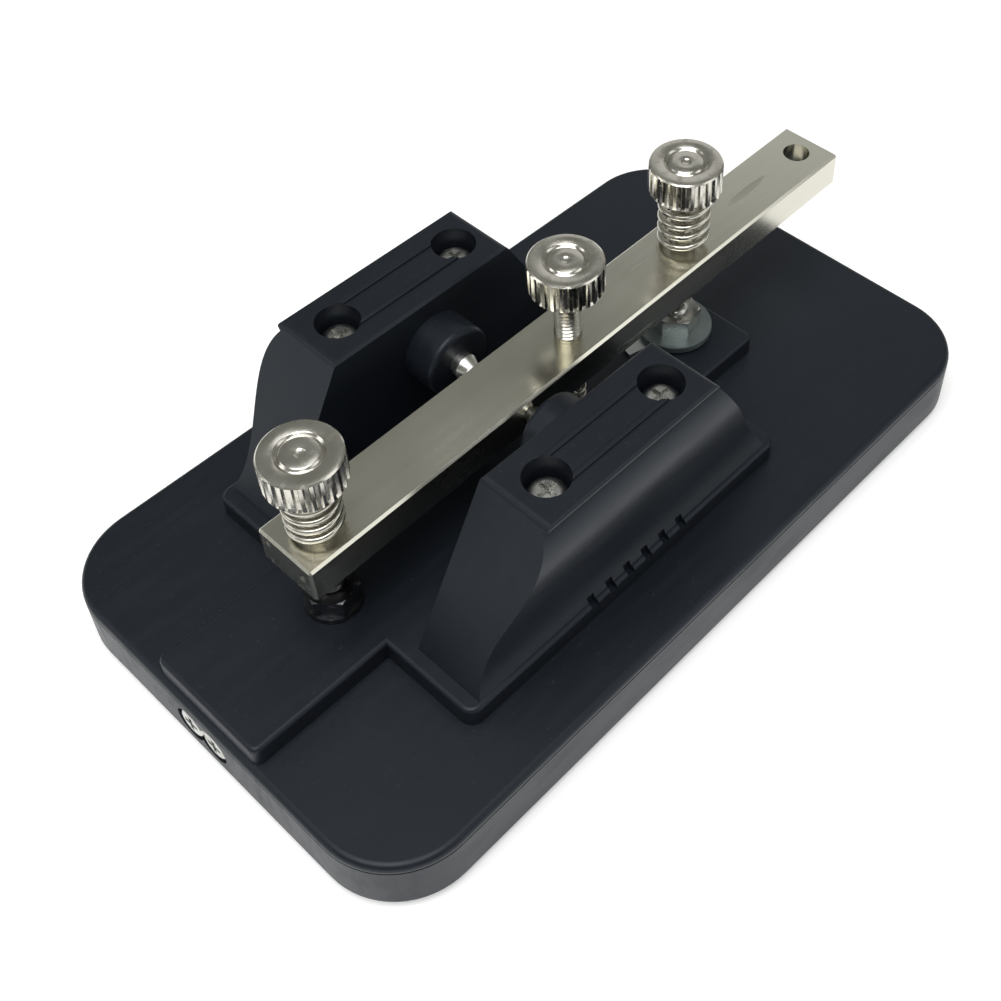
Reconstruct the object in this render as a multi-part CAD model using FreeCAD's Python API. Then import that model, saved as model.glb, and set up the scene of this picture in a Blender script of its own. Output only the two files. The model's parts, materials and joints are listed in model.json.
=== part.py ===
import FreeCAD, Part
import math
import os

V = FreeCAD.Vector

# Base: a moulded shell on rubber feet, closed underneath by a steel plate
FOOT_H = 0.8
BASE_L = 128.0
BASE_W = 72.0
BASE_R = 12.0
BASE_H = 10.0
PLATEAU_H = 13.35
BOTTOM_R = 1.2
PARTING_Z = 1.5
PARTING_W = 0.25
PARTING_D = 0.15
WALL = 2.4
SKIN = 2.5
STRIP_Y = 10.3
STRIP_X1 = 36.8
STRIP_R = 1.2
STRIP_SETBACK = 0.9
FLANGE_X0 = -41.2
FLANGE_X1 = 22.2
FLANGE_Y = 26.4
FLANGE_R = 2.0
PLATE_T = 2.0
PLATE_INSET = 1.5
FOOT_R = 6.0
CORNER_X = 52.0
CORNER_Y = 25.0

# Towers: two trapezoid blocks that carry the pivot
TOWER_TOP = 37.5
TOWER_BX0 = -38.9
TOWER_BX1 = 20.0
TOWER_TX0 = -25.7
TOWER_TX1 = 6.5
TOWER_YI = 14.0
TOWER_YO = 26.0
TOWER_YB = 25.7
TOWER_BULGE = 0.85
TOWER_END_R = 1.2
TOWER_SCREW_X = (-20.2, 1.7)
TOWER_SCREW_Y = 20.1
COUNTERBORE_R = 3.3
RIDGE_SPAN = 4.8
RIDGE_W = 0.9
RIDGE_H = 0.4
NOTCH_X0 = -17.8
NOTCH_PITCH = 3.66
NOTCHES = 6
COUNTERBORE_D = 4.8
BOSS_R = 5.6
BOSS_Y = 8.6

# Lever: a flat bar on two cone pins, raised at the knob end at rest
LEVER_W = 10.5
LEVER_T = 6.0
LEVER_X0 = -47.1
LEVER_X1 = 62.8
PIVOT_X = -8.6
PIVOT_H = 28.5
LEVER_DROP = 0.6
REST_TILT = 1.2
PIN_R = 1.97
CONE_TIP_R = 0.4
CONE_TIP_Y = 4.2
CONE_BASE_Y = 7.4

# Screws along the lever
TAIL_X = -41.6
TENSION_X = 4.75
CONTACT_X = 30.2
KNOB_X = 58.6
KNOB_HOLE_R = 2.15
SCREW_R = 2.0
THREAD_GAP = 0.05
HEAD_R = 5.5
HEAD_H = 5.0
TAIL_HEAD = 14.7
TENSION_HEAD = 14.0
CONTACT_HEAD = 15.7
TAIL_GAP = 0.05
CONTACT_GAP = 0.60
CONTACT_OFFSET = -1.2
LOCK_COIL_R = 3.5
LOCK_WIRE_R = 0.5
LOCK_TURNS = 4.75
RETURN_COIL_R = 2.2
RETURN_WIRE_R = 0.3
RETURN_TURNS = 6.5

# Small hardware
NUT_AF = 7.0
NUT_H = 3.2
TERMINAL_Y = 1.5
TERMINAL_PITCH = 4.9
TERMINAL_Z = 5.0
TERMINAL_HEAD_R = 2.4
WIRE_R = 0.6


def up(height):
    return FOOT_H + height


def cylinder(radius, height, x, y, z, direction=V(0, 0, 1)):
    return Part.makeCylinder(radius, height, V(x, y, z), direction)


def box(x0, x1, y0, y1, z0, z1):
    return Part.makeBox(x1 - x0, y1 - y0, z1 - z0, V(x0, y0, z0))


def rounded_block(x0, x1, y0, y1, z0, z1, radius):
    block = box(x0, x1, y0, y1, z0, z1)
    upright = [e for e in block.Edges if abs(e.tangentAt(e.FirstParameter).z) > 0.9]
    return block.makeFillet(radius, upright)


def rim_edges(shape, z):
    return [e for e in shape.Edges if abs(e.BoundBox.ZMin - z) < 1e-4 and abs(e.BoundBox.ZMax - z) < 1e-4]


def tilt(shape):
    turned = shape.copy()
    turned.rotate(V(PIVOT_X, 0, up(PIVOT_H)), V(0, 1, 0), -REST_TILT)
    return turned


def lever_z(above):
    return up(PIVOT_H) - LEVER_DROP + above


def on_lever(x, above):
    angle = math.radians(REST_TILT)
    arm = x - PIVOT_X
    rise = LEVER_T / 2 + above - LEVER_DROP
    world_x = PIVOT_X + arm * math.cos(angle) - rise * math.sin(angle)
    world_z = up(PIVOT_H) + arm * math.sin(angle) + rise * math.cos(angle)
    return world_x, world_z


def hexagon(across_flats, height, x, y, z):
    corner = across_flats / math.sqrt(3)
    points = []
    for step in range(7):
        turn = math.radians(60 * step + 12)
        points.append(V(x + corner * math.cos(turn), y + corner * math.sin(turn), z))
    prism = Part.Face(Part.makePolygon(points)).extrude(V(0, 0, height))
    cap = Part.makeCone(corner + 0.35, corner - 0.35, 0.4, V(x, y, z + height - 0.4))
    body = cylinder(corner + 0.35, height - 0.4, x, y, z)
    return prism.common(body.fuse(cap))


def coil(radius, wire, turns, x, z0, z1):
    height = z1 - z0 - 2 * wire
    helix = Part.makeHelix(height / turns, height, radius)
    section = Part.Wire(Part.Circle(V(radius, 0, 0), V(0, 1, 0), wire).toShape())
    spring = Part.Wire(helix.Edges).makePipeShell([section], True, True)
    spring.translate(V(x, 0, z0 + wire))
    return spring


def cross_slot(x, y, z, depth, arm):
    first = box(x - arm, x + arm, y - 0.35, y + 0.35, z - depth, z + 1)
    second = box(x - 0.35, x + 0.35, y - arm, y + arm, z - depth, z + 1)
    return first.fuse(second)


def pan_screw(head_r, head_h, shank_r, length):
    head = cylinder(head_r, head_h, 0, 0, 0)
    head = head.makeFillet(head_h * 0.55, rim_edges(head, head_h))
    head = head.cut(cross_slot(0, 0, head_h, head_h * 0.6, head_r * 0.55))
    return head.fuse(cylinder(shank_r, length, 0, 0, -length))


def place(shape, x, y, z):
    moved = shape.copy()
    moved.translate(V(x, y, z))
    return moved


def corner_points():
    return [(sx * CORNER_X, sy * CORNER_Y) for sx in (-1, 1) for sy in (-1, 1)]


def tower_points(side):
    return [(x, side * TOWER_SCREW_Y) for x in TOWER_SCREW_X]


def terminal_points():
    return [TERMINAL_Y + k * TERMINAL_PITCH / 2 for k in (-1, 1)]


def base_outline(inset, z0, z1):
    half_l = BASE_L / 2 - inset
    half_w = BASE_W / 2 - inset
    return rounded_block(-half_l, half_l, -half_w, half_w, z0, z1, BASE_R - inset)


def plateau(inset, z0, z1):
    x0 = -BASE_L / 2 + STRIP_SETBACK + inset
    strip = rounded_block(x0, STRIP_X1 - inset, inset - STRIP_Y, STRIP_Y - inset, z0, z1, STRIP_R)
    y = FLANGE_Y - inset
    flange = rounded_block(FLANGE_X0 + inset, FLANGE_X1 - inset, -y, y, z0, z1, FLANGE_R)
    return strip.fuse(flange).removeSplitter()


def parting_line():
    z = up(BASE_H) - PARTING_Z
    outside = base_outline(-1, z, z + PARTING_W)
    return outside.cut(base_outline(PARTING_D, z - 1, z + 1))


def base_shell():
    low = base_outline(0, up(0), up(BASE_H))
    low = low.makeFillet(1.0, rim_edges(low, up(BASE_H)))
    low = low.makeFillet(BOTTOM_R, rim_edges(low, up(0)))
    low = low.cut(parting_line())
    raised = plateau(0, up(BASE_H) - 2, up(PLATEAU_H))
    raised = raised.makeFillet(0.7, rim_edges(raised, up(PLATEAU_H)))
    shell = low.fuse(raised)
    for side in (-1, 1):
        shell = shell.cut(foot_notches(side))
    shell = shell.cut(base_outline(WALL, up(0) - 1, up(BASE_H) - SKIN))
    shell = shell.cut(plateau(WALL, up(2), up(PLATEAU_H) - SKIN))
    shell = shell.cut(base_outline(PLATE_INSET - 0.1, up(0) - 1, up(PLATE_T) + 0.02))
    for x, y in corner_points():
        shell = shell.fuse(cylinder(4.0, BASE_H - PLATE_T - 1.0, x, y, up(PLATE_T) + 0.05))
        shell = shell.cut(cylinder(1.55, 6.0, x, y, up(PLATE_T)))
    for side in (-1, 1):
        for x, y in tower_points(side):
            shell = shell.fuse(cylinder(3.6, PLATEAU_H - 1.0 - 3.6, x, y, up(3.6)))
            shell = shell.cut(cylinder(1.55, PLATEAU_H, x, y, up(3.0)))
    for x in (bolt_x(TAIL_X), contact_x()):
        shell = shell.cut(cylinder(SCREW_R + 0.1, PLATEAU_H, x, 0, up(2)))
    shell = shell.cut(cylinder(1.6, PLATEAU_H, seat_x(), 0, up(2)))
    shell = shell.cut(cylinder(3.2, 1.0, seat_x(), 0, up(PLATEAU_H) - 1.0))
    for y in terminal_points():
        shell = shell.cut(cylinder(TERMINAL_HEAD_R + 0.3, 1.7, -BASE_L / 2 - 0.5, y, up(TERMINAL_Z), V(1, 0, 0)))
        shell = shell.cut(cylinder(1.55, 6.0, -BASE_L / 2 - 0.5, y, up(TERMINAL_Z), V(1, 0, 0)))
    return shell.removeSplitter()


def bottom_plate():
    plate = base_outline(PLATE_INSET, up(0), up(PLATE_T))
    for x, y in corner_points():
        plate = plate.cut(Part.makeCone(3.05, 1.6, 1.45, V(x, y, up(0))))
        plate = plate.cut(cylinder(1.6, PLATE_T + 1, x, y, up(0)))
    return plate


def plate_screws():
    screws = []
    for x, y in corner_points():
        head = Part.makeCone(2.95, 1.5, 1.45, V(x, y, up(0)))
        shank = cylinder(1.5, 5.5, x, y, up(1.45))
        slot = cross_slot(0, 0, 0, 1.0, 1.5)
        slot.rotate(V(0, 0, 0), V(1, 0, 0), 180)
        slot.translate(V(x, y, up(0)))
        screws.append(head.fuse(shank).cut(slot))
    return Part.makeCompound(screws)


def rubber_feet():
    feet = []
    for x, y in corner_points():
        disc = cylinder(FOOT_R, FOOT_H, x * 0.78, y, 0)
        disc = disc.makeFillet(0.3, rim_edges(disc, 0))
        feet.append(disc)
    return Part.makeCompound(feet)


def foot_notches(side):
    cuts = []
    for k in range(NOTCHES):
        x = NOTCH_X0 + k * NOTCH_PITCH
        y = sorted((side * (TOWER_YB - 0.5), side * (FLANGE_Y + 1.5)))
        cuts.append(box(x - 0.65, x + 0.65, y[0], y[1], up(PLATEAU_H) - 1.0, up(PLATEAU_H) + 0.8))
    return Part.makeCompound(cuts)


def tower_section(z0, z1):
    top_in = [V(0, TOWER_YI, z0), V(0, TOWER_YI, z1 - 0.4), V(0, TOWER_YI + 0.4, z1)]
    lip = [V(0, TOWER_YO - 0.35, z1), V(0, TOWER_YO, z1 - 0.35), V(0, TOWER_YO, z1 - 0.65)]
    step = V(0, TOWER_YO - 0.7, z1 - 1.0)
    foot = V(0, TOWER_YB, z0)
    outline = Part.makePolygon(top_in + lip + [step])
    cheek = Part.BSplineCurve()
    shoulder = V(0, TOWER_YO + TOWER_BULGE, z1 - 4.5)
    waist = V(0, TOWER_YO, z1 - 12.0)
    cheek.interpolate([step, shoulder, waist, foot])
    floor = Part.LineSegment(foot, top_in[0]).toShape()
    return Part.Face(Part.Wire(outline.Edges + [cheek.toShape(), floor]))


def tower_side_view(z0, z1):
    corners = [V(TOWER_BX0, 0, z0), V(TOWER_BX1, 0, z0), V(TOWER_TX1, 0, z1), V(TOWER_TX0, 0, z1)]
    corners.append(corners[0])
    prism = Part.Face(Part.makePolygon(corners)).extrude(V(0, 40, 0))
    ends = [e for e in rim_edges(prism, z1) if abs(e.tangentAt(e.FirstParameter).y) > 0.9]
    return prism.makeFillet(TOWER_END_R, ends)


def tower(side):
    z0 = up(PLATEAU_H)
    z1 = up(TOWER_TOP)
    profile = tower_section(z0, z1)
    profile.translate(V(TOWER_BX0 - 5, 0, 0))
    bar = profile.extrude(V(TOWER_BX1 - TOWER_BX0 + 10, 0, 0))
    block = bar.common(tower_side_view(z0, z1))
    for edge in (-1, 1):
        y = TOWER_SCREW_Y + edge * RIDGE_SPAN / 2
        half = RIDGE_W / 2
        ridge = box(TOWER_SCREW_X[0], TOWER_SCREW_X[1], y - half, y + half, z1 - 0.5, z1 + RIDGE_H)
        long_edges = [e for e in rim_edges(ridge, z1 + RIDGE_H) if abs(e.tangentAt(e.FirstParameter).x) > 0.9]
        block = block.fuse(ridge.makeFillet(0.32, long_edges))
    boss = cylinder(BOSS_R, TOWER_YI - BOSS_Y + 1, PIVOT_X, BOSS_Y, up(PIVOT_H), V(0, 1, 0))
    boss = boss.makeFillet(0.8, [e for e in boss.Edges if abs(e.BoundBox.YMax - BOSS_Y) < 1e-4])
    block = block.fuse(boss)
    block = block.cut(cylinder(PIN_R + 0.02, 8.0, PIVOT_X, BOSS_Y - 1, up(PIVOT_H), V(0, 1, 0)))
    for x, y in tower_points(1):
        block = block.cut(cylinder(COUNTERBORE_R, COUNTERBORE_D + 1, x, y, z1 - COUNTERBORE_D))
        block = block.cut(cylinder(1.6, TOWER_TOP, x, y, z0 - 1))
    block = block.cut(foot_notches(1))
    if side < 0:
        block = block.mirror(V(0, 0, 0), V(0, 1, 0))
    return block


def tower_screws():
    screw = pan_screw(2.75, 2.2, 1.5, 27.0)
    seat = up(TOWER_TOP) - COUNTERBORE_D
    solids = []
    for side in (-1, 1):
        for x, y in tower_points(side):
            solids.append(place(screw, x, y, seat))
    return Part.makeCompound(solids)


def pivot_pin(side):
    z = up(PIVOT_H)
    shank = cylinder(PIN_R, TOWER_YI + 1.4 - CONE_BASE_Y, PIVOT_X, CONE_BASE_Y, z, V(0, 1, 0))
    taper = CONE_BASE_Y - CONE_TIP_Y
    cone = Part.makeCone(CONE_TIP_R, PIN_R, taper, V(PIVOT_X, CONE_TIP_Y, z), V(0, 1, 0))
    pin = shank.fuse(cone)
    if side < 0:
        pin = pin.mirror(V(0, 0, 0), V(0, 1, 0))
    return pin


def lever_bar():
    z0 = lever_z(-LEVER_T / 2)
    bar = box(LEVER_X0, LEVER_X1, -LEVER_W / 2, LEVER_W / 2, z0, z0 + LEVER_T)
    bar = bar.makeChamfer(0.35, bar.Edges)
    for x in (TAIL_X, TENSION_X, CONTACT_X):
        bar = bar.cut(cylinder(SCREW_R + THREAD_GAP, LEVER_T + 2, x, 0, z0 - 1))
    bar = bar.cut(cylinder(KNOB_HOLE_R, LEVER_T + 2, KNOB_X, 0, z0 - 1))
    slope = (PIN_R - CONE_TIP_R) / (CONE_BASE_Y - CONE_TIP_Y)
    depth = LEVER_W / 2 - CONE_TIP_Y + 0.1
    small = CONE_TIP_R + 0.02
    for side in (-1, 1):
        start = V(PIVOT_X, side * (CONE_TIP_Y - 0.1), up(PIVOT_H))
        reach = depth + 0.5
        dimple = Part.makeCone(small, small + slope * reach, reach, start, V(0, side, 0))
        bar = bar.cut(dimple)
    return tilt(bar)


def thumb_screw(x, head_top, tip_world_z):
    lever_top = lever_z(LEVER_T / 2)
    world_x, world_z = on_lever(x, 0)
    below = (world_z - tip_world_z) / math.cos(math.radians(REST_TILT))
    head_z = lever_top + head_top - HEAD_H
    tip_z = lever_top - below
    head = cylinder(HEAD_R, HEAD_H, x, 0, head_z)
    head = head.makeChamfer(0.5, rim_edges(head, head_z + HEAD_H) + rim_edges(head, head_z))
    groove = cylinder(3.4, 0.5, x, 0, head_z + HEAD_H - 0.5)
    head = head.cut(groove.cut(cylinder(2.6, 0.5, x, 0, head_z + HEAD_H - 0.5)))
    shank = cylinder(SCREW_R, head_z - tip_z, x, 0, tip_z)
    shank = shank.makeChamfer(0.5, rim_edges(shank, tip_z))
    return head.fuse(shank)


def lock_spring(x, head_top):
    lever_top = lever_z(LEVER_T / 2)
    top = lever_top + head_top - HEAD_H
    return tilt(coil(LOCK_COIL_R, LOCK_WIRE_R, LOCK_TURNS, x, lever_top + 0.02, top - 0.02))


def bolt_x(x):
    world_x, world_z = on_lever(x, -12.0)
    return world_x


def contact_x():
    return bolt_x(CONTACT_X) + CONTACT_OFFSET


def seat_x():
    return bolt_x(TENSION_X)


def bolt_top(washers):
    return up(PLATEAU_H) + washers + NUT_H + 0.8


def tail_screw():
    return tilt(thumb_screw(TAIL_X, TAIL_HEAD, bolt_top(1.0) + TAIL_GAP))


def contact_screw():
    return tilt(thumb_screw(CONTACT_X, CONTACT_HEAD, bolt_top(1.5) + CONTACT_GAP))


def spring_top():
    return lever_z(-LEVER_T / 2) - 1.2


def tension_screw():
    lever_top = lever_z(LEVER_T / 2)
    world_x, world_z = on_lever(TENSION_X, 0)
    screw = thumb_screw(TENSION_X, TENSION_HEAD, world_z - LEVER_T - 1.2)
    spigot = cylinder(1.5, 2.0, TENSION_X, 0, spring_top() - 1.8)
    return tilt(screw.fuse(spigot))


def return_spring():
    z0 = up(PLATEAU_H) - 0.4 + 0.03
    world_x, world_z = on_lever(TENSION_X, -LEVER_T - 1.2)
    return coil(RETURN_COIL_R, RETURN_WIRE_R, RETURN_TURNS, seat_x(), z0, world_z - 0.08)


def spring_seat():
    cup = cylinder(3.1, 0.6, seat_x(), 0, up(PLATEAU_H) - 1.0)
    stem = cylinder(1.5, 5.0, seat_x(), 0, up(PLATEAU_H) - 6.0)
    return cup.fuse(stem)


def bolt(x, washers):
    top = bolt_top(washers)
    roof = up(PLATEAU_H) - SKIN
    head = cylinder(3.6, 2.4, x, 0, roof - 2.4 - 0.02)
    head = head.makeFillet(1.0, rim_edges(head, roof - 2.4 - 0.02))
    shank = cylinder(SCREW_R, top - roof + 0.02, x, 0, roof - 0.02)
    shank = shank.makeFillet(0.7, rim_edges(shank, top))
    return head.fuse(shank)


def washer(outer, inner, thickness, x, z):
    ring = cylinder(outer, thickness, x, 0, z)
    return ring.cut(cylinder(inner, thickness, x, 0, z))


def nut(x, washers):
    z = up(PLATEAU_H) + washers
    return hexagon(NUT_AF, NUT_H, x, 0, z).cut(cylinder(SCREW_R + THREAD_GAP, NUT_H, x, 0, z))


def solder_tag():
    x = contact_x()
    z = up(PLATEAU_H)
    ring = cylinder(4.0, 0.5, x, 0, z)
    tab = box(x - 9.6, x - 2.0, -1.4, 1.4, z, z + 0.5)
    tab.rotate(V(x, 0, z), V(0, 0, 1), -14)
    return ring.fuse(tab).cut(cylinder(SCREW_R + 0.15, 2, x, 0, z - 0.5))


def terminal_screws():
    screw = pan_screw(TERMINAL_HEAD_R, 1.1, 1.5, 4.5)
    screw.rotate(V(0, 0, 0), V(0, 1, 0), -90)
    x = -BASE_L / 2 + 1.2
    return Part.makeCompound([place(screw, x, y, up(TERMINAL_Z)) for y in terminal_points()])


def terminal_nuts():
    blocks = []
    x0 = -BASE_L / 2 + WALL + 0.03
    for y in terminal_points():
        block = box(x0, x0 + 3.0, y - 2.2, y + 2.2, up(TERMINAL_Z) - 2.4, up(TERMINAL_Z) + 2.4)
        hole = cylinder(1.55, 4.0, x0 - 0.5, y, up(TERMINAL_Z), V(1, 0, 0))
        blocks.append(block.cut(hole))
    return Part.makeCompound(blocks)


def wire_run(points):
    path = Part.BSplineCurve()
    path.interpolate(points)
    spine = Part.Wire(path.toShape())
    start = path.tangent(path.FirstParameter)[0]
    section = Part.Wire(Part.Circle(points[0], start, WIRE_R).toShape())
    return spine.makePipeShell([section], True, True)


def contact_wire():
    x0 = -BASE_L / 2 + WALL + 3.6
    y0 = terminal_points()[1]
    x1 = contact_x()
    end = up(PLATEAU_H) - SKIN - 3.1
    points = [V(x0 + 0.3, y0, up(TERMINAL_Z)), V(x0 + 12, y0 + 3, up(4.2)), V(-25, 7, up(3.6))]
    points += [V(5, 7, up(3.6)), V(x1 - 8, 4, up(4.0)), V(x1 - 0.5, 0.4, end)]
    return wire_run(points)


def lever_wire():
    x0 = -BASE_L / 2 + WALL + 3.6
    y0 = terminal_points()[0]
    end = up(PLATEAU_H) - 6.7
    points = [V(x0 + 0.3, y0, up(TERMINAL_Z)), V(x0 + 12, y0 - 4, up(4.2)), V(-25, -6, up(3.6))]
    points += [V(seat_x() - 8, -4, up(4.0)), V(seat_x() - 0.5, -0.4, end)]
    return wire_run(points)


NODES = {
    "base_shell": base_shell,
    "bottom_plate": bottom_plate,
    "plate_screws": plate_screws,
    "rubber_feet": rubber_feet,
    "left_tower": lambda: tower(1),
    "right_tower": lambda: tower(-1),
    "tower_screws": tower_screws,
    "left_pivot_pin": lambda: pivot_pin(1),
    "right_pivot_pin": lambda: pivot_pin(-1),
    "lever_bar": lever_bar,
    "tail_screw": tail_screw,
    "tail_lock_spring": lambda: lock_spring(TAIL_X, TAIL_HEAD),
    "tension_screw": tension_screw,
    "return_spring": return_spring,
    "spring_seat": spring_seat,
    "contact_screw": contact_screw,
    "contact_lock_spring": lambda: lock_spring(CONTACT_X, CONTACT_HEAD),
    "stop_bolt": lambda: bolt(bolt_x(TAIL_X), 1.0),
    "stop_washer": lambda: washer(4.0, 2.15, 1.0, bolt_x(TAIL_X), up(PLATEAU_H)),
    "stop_nut": lambda: nut(bolt_x(TAIL_X), 1.0),
    "contact_bolt": lambda: bolt(contact_x(), 1.5),
    "solder_tag": solder_tag,
    "contact_washer": lambda: washer(6.0, 2.15, 1.0, contact_x(), up(PLATEAU_H) + 0.5),
    "contact_nut": lambda: nut(contact_x(), 1.5),
    "terminal_screws": terminal_screws,
    "terminal_nuts": terminal_nuts,
    "contact_wire": contact_wire,
    "lever_wire": lever_wire,
}

os.makedirs("parts", exist_ok=True)
for name, make in NODES.items():
    shape = make()
    print(name, shape.isValid(), len(shape.Solids), round(shape.Volume, 1), shape.BoundBox)
    shape.exportStep("parts/" + name + ".step")
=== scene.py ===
import json
import math

import bmesh
import bpy
from mathutils import Matrix, Vector


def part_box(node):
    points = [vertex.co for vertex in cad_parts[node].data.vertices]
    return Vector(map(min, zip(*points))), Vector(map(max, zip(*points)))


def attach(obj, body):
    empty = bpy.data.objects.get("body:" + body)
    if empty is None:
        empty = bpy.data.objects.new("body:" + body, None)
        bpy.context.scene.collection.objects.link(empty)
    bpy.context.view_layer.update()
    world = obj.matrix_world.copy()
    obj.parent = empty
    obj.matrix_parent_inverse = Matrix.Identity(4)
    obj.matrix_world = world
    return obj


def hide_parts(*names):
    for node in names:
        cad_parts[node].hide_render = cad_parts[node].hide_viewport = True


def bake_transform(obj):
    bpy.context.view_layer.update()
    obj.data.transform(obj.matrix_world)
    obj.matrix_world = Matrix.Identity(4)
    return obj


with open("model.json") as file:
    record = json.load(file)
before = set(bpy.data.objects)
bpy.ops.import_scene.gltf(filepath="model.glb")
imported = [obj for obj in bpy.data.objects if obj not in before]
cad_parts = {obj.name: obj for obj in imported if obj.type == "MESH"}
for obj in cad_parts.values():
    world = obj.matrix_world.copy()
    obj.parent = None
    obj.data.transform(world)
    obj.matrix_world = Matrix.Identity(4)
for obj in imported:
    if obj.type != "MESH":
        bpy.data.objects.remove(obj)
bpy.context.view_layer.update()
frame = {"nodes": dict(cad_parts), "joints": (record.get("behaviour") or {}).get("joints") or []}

nodes = frame["nodes"]


# ---- Bench, camera and lamps ------------------------------------------------
# The key stands on a plain white bench top under one broad soft lamp, with
# weaker panels round it that give the plated parts something to reflect.
bpy.ops.object.select_all(action="DESELECT")
bpy.ops.mesh.primitive_grid_add(x_subdivisions=8, y_subdivisions=8, size=6.0, location=(0, 0, 0))
bench = bpy.context.object
bench.name = "bench_top"


class Feed:
    """One socket in a finish's nodes. Sums on it add Math nodes."""

    def __init__(self, tree, socket=None):
        self.tree = tree
        self.socket = socket

    def node(self, kind, settings=None, inputs=None, output=0):
        made = self.tree.nodes.new(kind)
        for name, value in (settings or {}).items():
            setattr(made, name, value)
        for name, value in (inputs or {}).items():
            if isinstance(value, Feed):
                self.tree.links.new(value.socket, made.inputs[name])
            else:
                made.inputs[name].default_value = value
        return Feed(self.tree, made.outputs[output] if made.outputs else None)

    def sum(self, operation, first, second):
        return self.node("ShaderNodeMath", {"operation": operation}, {0: first, 1: second})

    def __add__(self, other):
        return self.sum("ADD", self, other)

    def __radd__(self, other):
        return self.sum("ADD", other, self)

    def __sub__(self, other):
        return self.sum("SUBTRACT", self, other)

    def __rsub__(self, other):
        return self.sum("SUBTRACT", other, self)

    def __mul__(self, other):
        return self.sum("MULTIPLY", self, other)

    def __rmul__(self, other):
        return self.sum("MULTIPLY", other, self)

    def grains(self, scale, detail=2.0, stretch=(1, 1, 1), turn=0.0):
        spread = {"Vector": self, "Scale": stretch, "Rotation": (0, 0, turn)}
        placed = self.node("ShaderNodeMapping", None, spread)
        noise = {"Vector": placed, "Scale": scale, "Detail": detail}
        return self.node("ShaderNodeTexNoise", None, noise, "Fac")

    def between(self, low, high, bottom=0.0, top=1.0):
        limits = {"Value": self, "From Min": low, "From Max": high, "To Min": bottom, "To Max": top}
        return self.node("ShaderNodeMapRange", {"clamp": True}, limits)

    def blend_colours(self, share, first, second):
        return self.node("ShaderNodeMix", {"data_type": "RGBA"}, {0: share, 6: first, 7: second}, 2)

    def tint(self, dark, light):
        return self.blend_colours(self, (*dark, 1), (*light, 1))

    def marked(self, marks, colour):
        return self.blend_colours(marks, self, (*colour, 1))

    def relief(self, depth, strength=1.0):
        return self.node("ShaderNodeBump", None, {"Height": self, "Distance": depth, "Strength": strength})


def new_finish(name):
    finish = bpy.data.materials.new(name)
    finish.use_nodes = True
    finish.node_tree.nodes.clear()
    place = Feed(finish.node_tree).node("ShaderNodeTexCoord", output="Object")
    return finish, place


def close_finish(place, inputs):
    surface = place.node("ShaderNodeBsdfPrincipled", None, inputs, "BSDF")
    place.node("ShaderNodeOutputMaterial", None, {"Surface": surface})


def dress(finish, *pieces):
    for piece in pieces:
        if not piece.material_slots:
            piece.data.materials.append(finish)
        for hold in piece.material_slots:
            hold.material = finish


bench_paint, place = new_finish("bench_paint")
cloud = place.grains(6.0, 3.0)
bench_shades = {
    "Base Color": cloud.tint((0.90, 0.90, 0.90), (0.93, 0.93, 0.93)),
    "Roughness": cloud.between(0.3, 0.7, 0.75, 0.85),
    "Emission Color": (1, 1, 1, 1),
    "Emission Strength": 0.32,
}
close_finish(place, bench_shades)
dress(bench_paint, bench)

bpy.ops.object.camera_add(location=(-0.10182, -0.10332, 0.1832))
camera = bpy.context.object
camera.name = "camera"
across = Vector((0.6718, -0.7406, 0.0146))
down = Vector((-0.5140, -0.4802, -0.7108))
ahead = Vector((0.5334, 0.4700, -0.7032))
camera.rotation_euler = Matrix((across, -down, -ahead)).transposed().to_euler()
camera.data.lens = 52.99
camera.data.sensor_width = 36.0
camera.data.shift_x = -0.1172
camera.data.shift_y = -0.1919
camera.data.clip_start = 0.005
bpy.context.scene.camera = camera

for name, spot, size, power in (
    ("lamp_overhead", (-0.22, -0.10, 0.75), 0.60, 5.2),
    ("lamp_left", (-0.55, 0.45, 0.40), 0.30, 0.5),
    ("lamp_right", (0.38, -0.72, 0.46), 0.55, 1.1),
    ("lamp_far", (1.05, 0.62, 0.62), 0.80, 0.85),
    ("lamp_near", (0.20, 0.15, 0.75), 0.22, 0.18),
):
    bpy.ops.object.light_add(type="AREA", location=spot)
    lamp = bpy.context.object
    lamp.name = name
    lamp.data.size = size
    lamp.data.energy = power
    lamp.rotation_euler = (Vector((0, 0, 0.02)) - Vector(spot)).to_track_quat("-Z", "Y").to_euler()

room = bpy.data.worlds.new("room")
room.use_nodes = True
room.node_tree.nodes["Background"].inputs["Color"].default_value = (0.205, 0.210, 0.195, 1)
bpy.context.scene.world = room
bpy.context.scene.view_settings.view_transform = "Standard"


# ---- Moulded base and towers ------------------------------------------------
# Injection-moulded black plastic with a fine satin skin, slightly uneven
# gloss from the tool, and light handling marks on the exposed faces.
moulding, place = new_finish("moulded_black_plastic")
skin = place.grains(2400.0, 3.0)
patch = place.grains(38.0, 4.0)
rubs = place.grains(90.0, 5.0, (1, 7, 3), 0.5)
specks = place.grains(1500.0, 1.0).between(0.71, 0.76)
shade = (patch * 0.6 + rubs * 0.4).tint((0.0060, 0.0078, 0.0115), (0.0100, 0.0125, 0.0175))
plastic = {
    "Base Color": shade.marked(specks * 0.12, (0.06, 0.06, 0.07)),
    "Roughness": patch.between(0.3, 0.7, 0.36, 0.45) + rubs.between(0.45, 0.75, 0.0, 0.08) + specks * 0.1,
    "Normal": (skin * 0.8 + patch * 2.0 + specks * 0.6).relief(0.00002, 0.6),
    "IOR": 1.40,
    "Specular Tint": (0.82, 0.90, 1.0, 1),
}
close_finish(place, plastic)
dress(moulding, nodes["base_shell"], nodes["left_tower"], nodes["right_tower"])


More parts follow.
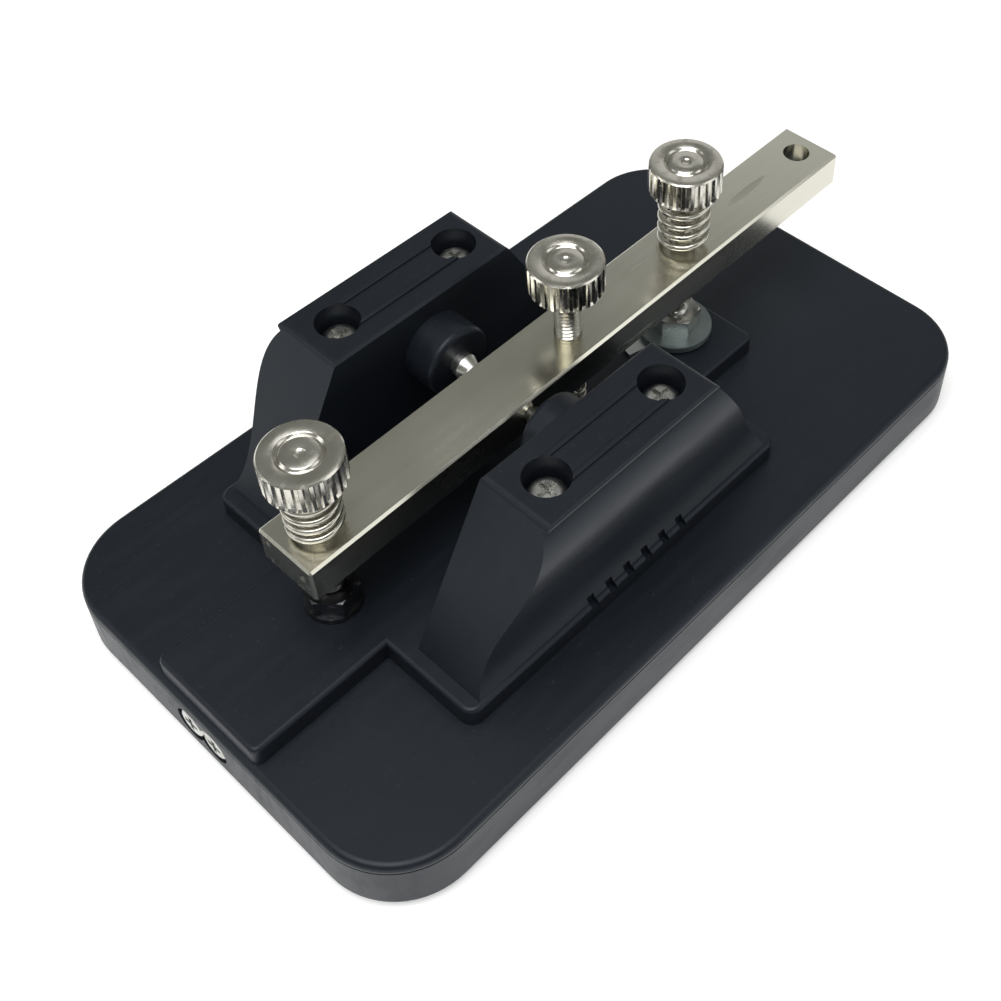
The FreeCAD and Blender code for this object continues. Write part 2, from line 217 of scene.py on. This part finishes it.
# ---- Bottom plate, its screws and the feet ----------------------------------
# A steel plate in thin black paint closes the base. Four countersunk screws
# hold it, and four glued rubber discs keep the key from sliding.
plate_paint, place = new_finish("black_plate_paint")
peel = place.grains(420.0, 3.0)
scuffs = place.grains(60.0, 6.0, (1, 9, 1), 0.9)
plate = {
    "Base Color": scuffs.between(0.55, 0.75).tint((0.020, 0.020, 0.022), (0.050, 0.050, 0.052)),
    "Roughness": peel.between(0.3, 0.7, 0.42, 0.55) + scuffs * 0.1,
    "Normal": peel.relief(0.00003, 0.5),
}
close_finish(place, plate)
dress(plate_paint, nodes["bottom_plate"])

foot_rubber, place = new_finish("foot_rubber")
pores = place.grains(1900.0, 4.0)
bloom = place.grains(140.0, 3.0)
rubber = {
    "Base Color": bloom.tint((0.014, 0.014, 0.014), (0.034, 0.033, 0.032)),
    "Roughness": bloom.between(0.3, 0.7, 0.78, 0.9),
    "Normal": pores.relief(0.00004, 0.8),
}
close_finish(place, rubber)
dress(foot_rubber, nodes["rubber_feet"])


# ---- Bright zinc hardware ---------------------------------------------------
# Screws, pins, bolts and nuts are steel with bright zinc plate. The plate is
# slightly milky, with fine turning lines and small spots of grime.
zinc, place = new_finish("bright_zinc_plate")
turning = place.grains(2600.0, 2.0, (1, 1, 6))
milk = place.grains(520.0, 4.0)
grime = place.grains(260.0, 5.0).between(0.52, 0.72)
bright = milk.tint((0.48, 0.48, 0.46), (0.72, 0.72, 0.69))
hardware = {
    "Base Color": bright.marked(grime * 0.5, (0.22, 0.21, 0.19)),
    "Metallic": 1.0,
    "Roughness": milk.between(0.3, 0.7, 0.22, 0.36) + grime * 0.2,
    "Normal": (turning + milk).relief(0.00002, 0.5),
}
close_finish(place, hardware)
for name in (
    "plate_screws", "tower_screws", "left_pivot_pin", "right_pivot_pin",
    "contact_bolt", "contact_nut", "terminal_screws",
):
    dress(zinc, nodes[name])


# ---- Stop bolt, nut and washer ----------------------------------------------
# The stop under the lever's tail is a dark oiled steel bolt that stands in the
# top of the base. Dry oil leaves it blotchy, with small brighter scrapes.
oiled, place = new_finish("dark_oiled_steel")
blotch = place.grains(340.0, 4.0)
scrape = place.grains(900.0, 3.0, (1, 1, 4)).between(0.56, 0.68)
dark = blotch.tint((0.060, 0.062, 0.068), (0.11, 0.11, 0.12))
stop = {
    "Base Color": dark.marked(scrape * 0.4, (0.34, 0.34, 0.34)),
    "Metallic": 1.0,
    "Roughness": blotch.between(0.3, 0.7, 0.24, 0.38) + scrape * 0.1,
    "Normal": (blotch + scrape * 0.5).relief(0.00002, 0.5),
}
close_finish(place, stop)
dress(oiled, nodes["stop_bolt"], nodes["stop_washer"], nodes["stop_nut"])


# ---- Contact washer, solder tag, spring seat and terminal nuts --------------
# The big contact washer is dull passivated zinc, the tag is tinned sheet, and
# the spring seat and terminal nuts inside are plain turned brass.
dull_zinc, place = new_finish("dull_zinc_plate")
etch = place.grains(900.0, 5.0)
haze = place.grains(190.0, 3.0)
washer = {
    "Base Color": (etch * 0.5 + haze * 0.5).tint((0.20, 0.24, 0.245), (0.32, 0.37, 0.37)),
    "Metallic": 1.0,
    "Roughness": haze.between(0.3, 0.7, 0.46, 0.6),
    "Normal": etch.relief(0.00002, 0.7),
}
close_finish(place, washer)
dress(dull_zinc, nodes["contact_washer"])

tinned, place = new_finish("tinned_sheet")
flow = place.grains(330.0, 4.0, (1, 2, 1))
tag = {
    "Base Color": flow.tint((0.42, 0.44, 0.44), (0.62, 0.63, 0.62)),
    "Metallic": 1.0,
    "Roughness": flow.between(0.3, 0.7, 0.28, 0.5),
    "Normal": flow.relief(0.00006, 0.6),
}
close_finish(place, tag)
dress(tinned, nodes["solder_tag"])

brass, place = new_finish("turned_brass")
lathe = place.grains(1800.0, 2.0, (1, 1, 8))
tarnish = place.grains(210.0, 4.0)
turned = {
    "Base Color": tarnish.tint((0.42, 0.29, 0.11), (0.70, 0.52, 0.24)),
    "Metallic": 1.0,
    "Roughness": tarnish.between(0.3, 0.7, 0.25, 0.42),
    "Normal": lathe.relief(0.00002, 0.5),
}
close_finish(place, turned)
dress(brass, nodes["spring_seat"], nodes["terminal_nuts"])


# ---- Wires inside the base --------------------------------------------------
# Two short runs of soft insulated wire join the terminals to the contact bolt
# and to the spring seat. The sleeve is smooth extruded plastic.
for name, dark, light in (
    ("contact_wire", (0.26, 0.010, 0.008), (0.42, 0.022, 0.016)),
    ("lever_wire", (0.010, 0.010, 0.011), (0.024, 0.024, 0.026)),
):
    sleeve, place = new_finish(name + "_sleeve")
    wax = place.grains(480.0, 3.0)
    smooth = {
        "Base Color": wax.tint(dark, light),
        "Roughness": wax.between(0.3, 0.7, 0.3, 0.44),
        "Normal": wax.relief(0.00003, 0.4),
    }
    close_finish(place, smooth)
    dress(sleeve, nodes[name])


# ---- Lever bar --------------------------------------------------------------
# A flat bar in polished nickel plate, broken edges, drilled for the three
# screws and the knob. Polishing left fine lines along the bar.
nickel, place = new_finish("polished_nickel")
lines = place.grains(700.0, 3.0, (0.05, 1, 1))
nicks = place.grains(420.0, 2.0, (0.12, 1, 1), 0.7).between(0.66, 0.72)
film = place.grains(45.0, 4.0)
plating = (film * 0.7 + lines * 0.3).tint((0.60, 0.585, 0.50), (0.75, 0.735, 0.655))
polish = {
    "Base Color": plating.marked(nicks * 0.4, (0.36, 0.35, 0.30)),
    "Metallic": 1.0,
    "Roughness": film.between(0.3, 0.7, 0.17, 0.26) + nicks * 0.15 + lines * 0.05,
    "Normal": (lines * 0.7 + film * 2.5 - nicks * 1.2).relief(0.00002, 0.7),
}
close_finish(place, polish)
dress(nickel, nodes["lever_bar"])


# ---- Thumb screws -----------------------------------------------------------
# Three turned M4 screws with coarse straight-knurled heads. Each head has a
# ring groove and a dished centre with the lathe's centre mark. Nickel plated.
NEAR = 1e-6
FLUTES = 26
STEPS_PER_FLUTE = 6
VALLEY_STEPS = (0, 1, 2)
VALLEY_SCALE = 0.93
VALLEY_BAND = 0.00035
VALLEY_FLOOR = 0.0003
VALLEY_CEILING = 0.00042
HEAD_RADIUS = 0.0055
HEAD_DEPTH = 0.0050
TOP_ROUNDING = 0.00055
UNDER_ROUNDING = 0.00045
THREAD_RADIUS = 0.0020
THREAD_ROOT = 0.00166
THREAD_PITCH = 0.0007
THREAD_SIDES = 28
TIP_ROUNDING = 0.0004
ROOT_OVERLAP = 0.00004
HEAD_OVERLAP = 0.0005
TENSION_BARE_TIP = 0.0015


def pick(piece, kind, wanted):
    """Selects, in edit mode, the faces, edges or corners for which wanted(it) is true."""
    bpy.ops.mesh.select_mode(type=kind)
    bpy.ops.mesh.select_all(action="DESELECT")
    mesh = bmesh.from_edit_mesh(piece.data)
    for part in {"FACE": mesh.faces, "EDGE": mesh.edges, "VERT": mesh.verts}[kind]:
        part.select_set(wanted(part))
    mesh.select_flush_mode()
    bmesh.update_edit_mesh(piece.data)


def round_rim(piece, height, radius, steps, shape=0.5):
    """Bevels the edges that lie at one height."""
    pick(piece, "EDGE", lambda edge: all(abs(corner.co.z - height) < NEAR for corner in edge.verts))
    bpy.ops.mesh.bevel(offset=radius, segments=steps, profile=shape)


def settle(piece, matrix):
    """Puts the piece in place and bakes that place into its mesh."""
    bpy.ops.object.select_all(action="DESELECT")
    piece.select_set(True)
    bpy.context.view_layer.objects.active = piece
    piece.matrix_world = matrix
    bpy.context.view_layer.update()
    bpy.ops.object.transform_apply(location=True, rotation=True, scale=True)


def screw_stand(name):
    """A screw's axis as a matrix from upright, its head's height along that axis, and its length."""
    low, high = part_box(name)
    joint = next(j for j in frame["joints"] if j["name"] == name + "_turn")
    turn = Vector((0, 0, 1)).rotation_difference(Vector(joint["axis"])).to_matrix().to_4x4()
    upright = Matrix.Translation(Vector(joint["pos_m"])) @ turn
    lean = upright.to_3x3() @ Vector((0, 0, 1))
    head_side = HEAD_RADIUS * math.hypot(lean.x, lean.y)
    tip_side = THREAD_RADIUS * math.hypot(lean.x, lean.y)
    head_top = (high.z - upright.translation.z - head_side) / lean.z
    length = (high.z - low.z - head_side - tip_side) / lean.z
    return upright, head_top, length


# The steps in from the rim of a head's top: how far in, and how far down.
HEAD_STEPS = (
    (0.00160, 0.0), (0.00012, 0.00006), (0.00014, 0.00022), (0.00020, 0.00010),
    (0.00020, -0.00010), (0.00014, -0.00022), (0.00012, -0.00006), (0.00130, 0.00004),
    (0.00035, 0.00002), (0.00010, 0.00008), (0.00020, 0.00008),
)


def knurled_head():
    bpy.ops.object.select_all(action="DESELECT")
    sides = FLUTES * STEPS_PER_FLUTE
    middle = (0, 0, -HEAD_DEPTH / 2)
    bpy.ops.mesh.primitive_cylinder_add(
        vertices=sides, radius=HEAD_RADIUS, depth=HEAD_DEPTH, location=middle,
    )
    head = bpy.context.object
    bpy.ops.object.transform_apply(location=True, rotation=True, scale=True)
    bpy.ops.object.mode_set(mode="EDIT")
    round_rim(head, 0.0, TOP_ROUNDING, 3, 0.6)
    round_rim(head, -HEAD_DEPTH, UNDER_ROUNDING, 2, 0.6)
    pick(head, "FACE", lambda face: face.normal.z > 0.9 and len(face.verts) > 8)
    for width, drop in HEAD_STEPS:
        bpy.ops.mesh.inset(thickness=width, depth=-drop)
    step_angle = 2 * math.pi / sides

    def in_valley(corner):
        point = corner.co
        step = round(math.atan2(point.y, point.x) / step_angle) % STEPS_PER_FLUTE
        on_side = math.hypot(point.x, point.y) > HEAD_RADIUS - VALLEY_BAND
        at_height = -HEAD_DEPTH + VALLEY_FLOOR < point.z < -VALLEY_CEILING
        return on_side and at_height and step in VALLEY_STEPS

    pick(head, "VERT", in_valley)
    bpy.ops.transform.resize(value=(VALLEY_SCALE, VALLEY_SCALE, 1), center_override=(0, 0, 0))
    bpy.ops.object.mode_set(mode="OBJECT")
    return head


def threaded_shank(length, bare_tip):
    bpy.ops.object.select_all(action="DESELECT")
    bpy.ops.mesh.primitive_plane_add(size=0.001, location=(0, 0, 0))
    thread = bpy.context.object
    bpy.ops.object.mode_set(mode="EDIT")
    bpy.ops.mesh.select_all(action="SELECT")
    bpy.ops.mesh.merge(type="CENTER")
    bpy.ops.transform.translate(value=(THREAD_ROOT, 0, -length + bare_tip + TIP_ROUNDING))
    crest = THREAD_RADIUS - THREAD_ROOT
    for out, rise in ((0, 0.12), (crest, 0.33), (0, 0.1), (-crest, 0.33), (0, 0.12)):
        move = {"value": (out, 0, rise * THREAD_PITCH)}
        bpy.ops.mesh.extrude_region_move(TRANSFORM_OT_translate=move)
    bpy.ops.object.mode_set(mode="OBJECT")
    winding = thread.modifiers.new("winding", "SCREW")
    winding.screw_offset = THREAD_PITCH
    winding.iterations = int((length - HEAD_DEPTH - bare_tip) / THREAD_PITCH)
    winding.steps = winding.render_steps = THREAD_SIDES
    winding.use_merge_vertices = True
    winding.merge_threshold = 0.000005
    bpy.ops.object.modifier_apply(modifier="winding")
    bpy.ops.object.mode_set(mode="EDIT")
    bpy.ops.mesh.select_all(action="SELECT")
    bpy.ops.mesh.normals_make_consistent(inside=False)
    bpy.ops.object.mode_set(mode="OBJECT")
    bpy.ops.object.select_all(action="DESELECT")
    height = length - HEAD_DEPTH + HEAD_OVERLAP
    radius = THREAD_ROOT + ROOT_OVERLAP
    middle = (0, 0, -length + height / 2)
    bpy.ops.mesh.primitive_cylinder_add(
        vertices=THREAD_SIDES, radius=radius, depth=height, location=middle,
    )
    core = bpy.context.object
    bpy.ops.object.transform_apply(location=True, rotation=True, scale=True)
    bpy.ops.object.mode_set(mode="EDIT")
    round_rim(core, -length, TIP_ROUNDING, 3)
    bpy.ops.object.mode_set(mode="OBJECT")
    return thread, core


turned_nickel, place = new_finish("turned_nickel")
rings = place.grains(1500.0, 2.0, (1, 1, 7))
stain = place.grains(300.0, 4.0)
dirt = place.grains(700.0, 3.0).between(0.56, 0.7)
warm = stain.tint((0.58, 0.555, 0.49), (0.76, 0.74, 0.68))
head_shades = {
    "Base Color": warm.marked(dirt * 0.35, (0.20, 0.18, 0.14)),
    "Metallic": 1.0,
    "Roughness": stain.between(0.3, 0.7, 0.16, 0.27) + dirt * 0.12,
    "Normal": (rings + stain * 1.5).relief(0.000015, 0.6),
}
close_finish(place, head_shades)

for name in ("tail_screw", "tension_screw", "contact_screw"):
    upright, head_top, length = screw_stand(name)
    head = knurled_head()
    thread, core = threaded_shank(length, TENSION_BARE_TIP if name == "tension_screw" else 0.0)
    bpy.ops.object.select_all(action="DESELECT")
    for half in (head, thread, core):
        half.select_set(True)
    bpy.context.view_layer.objects.active = head
    bpy.ops.object.join()
    screw = bpy.context.object
    screw.name = name + "_turned"
    bpy.ops.object.shade_smooth_by_angle(angle=math.radians(32))
    settle(screw, upright @ Matrix.Translation((0, 0, head_top)))
    dress(turned_nickel, screw)
    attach(screw, name)
    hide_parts(name)


# ---- Lock springs and return spring -----------------------------------------
# Coils of drawn wire, nickel plated. The two lock springs sit between a screw
# head and the lever, the return spring between its seat and the tension screw.
LOCK_COIL_RADIUS = 0.0035
LOCK_WIRE_RADIUS = 0.0005
LOCK_TURNS = 4.75
RETURN_COIL_RADIUS = 0.0022
RETURN_WIRE_RADIUS = 0.0003
RETURN_TURNS = 6.5
CLOSED_END = 0.0004
SLACK = 0.00002
SEAT_ROOM = 0.00022
CROWN_ROOM = 0.00012

wire_nickel, place = new_finish("drawn_wire_nickel")
draw = place.grains(1300.0, 3.0, (1, 1, 3))
oil = place.grains(420.0, 3.0)
wire_shades = {
    "Base Color": oil.tint((0.50, 0.48, 0.42), (0.70, 0.68, 0.61)),
    "Metallic": 1.0,
    "Roughness": oil.between(0.3, 0.7, 0.2, 0.34),
    "Normal": (draw + oil).relief(0.000015, 0.6),
}
close_finish(place, wire_shades)


def wound_spring(name, coil_radius, wire_radius, turns, height):
    bpy.ops.object.select_all(action="DESELECT")
    spot = (coil_radius, 0, wire_radius)
    on_end = (math.pi / 2, 0, 0)
    bpy.ops.mesh.primitive_circle_add(vertices=14, radius=wire_radius, location=spot, rotation=on_end)
    spring = bpy.context.object
    spring.name = name
    bpy.ops.object.transform_apply(location=True, rotation=True, scale=True)
    winding = spring.modifiers.new("winding", "SCREW")
    winding.angle = 2 * math.pi * turns
    winding.screw_offset = height - 2 * wire_radius
    winding.steps = winding.render_steps = int(turns * 40)
    bpy.ops.object.modifier_apply(modifier="winding")
    bpy.ops.object.mode_set(mode="EDIT")
    bpy.ops.mesh.select_all(action="DESELECT")
    bpy.ops.mesh.select_mode(type="EDGE")
    bpy.ops.mesh.select_non_manifold()
    bpy.ops.mesh.fill_holes(sides=0)
    bpy.ops.mesh.select_all(action="SELECT")
    bpy.ops.mesh.normals_make_consistent(inside=False)
    bpy.ops.object.mode_set(mode="OBJECT")
    bpy.ops.object.shade_smooth_by_angle(angle=math.radians(50))
    return spring


for name in ("tail", "contact"):
    upright, head_top = screw_stand(name + "_screw")[:2]
    room_above = head_top - HEAD_DEPTH
    height = room_above - 2 * SLACK
    spring = wound_spring(name + "_lock_coil", LOCK_COIL_RADIUS, LOCK_WIRE_RADIUS, LOCK_TURNS, height)
    settle(spring, upright @ Matrix.Translation((0, 0, SLACK)))
    foot = upright @ Vector((0, 0, CLOSED_END))
    crown = upright @ Vector((0, 0, room_above - CLOSED_END))
    dress(wire_nickel, spring)
    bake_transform(spring)
    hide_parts(name + "_lock_spring")

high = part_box("return_spring")[1]
seat_low, seat_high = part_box("spring_seat")
middle = (seat_low + seat_high) / 2
height = high.z - seat_high.z - SEAT_ROOM - CROWN_ROOM
return_coil = wound_spring("return_coil", RETURN_COIL_RADIUS, RETURN_WIRE_RADIUS, RETURN_TURNS, height)
settle(return_coil, Matrix.Translation((middle.x, middle.y, seat_high.z + SEAT_ROOM)))
dress(wire_nickel, return_coil)
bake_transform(return_coil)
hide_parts("return_spring")
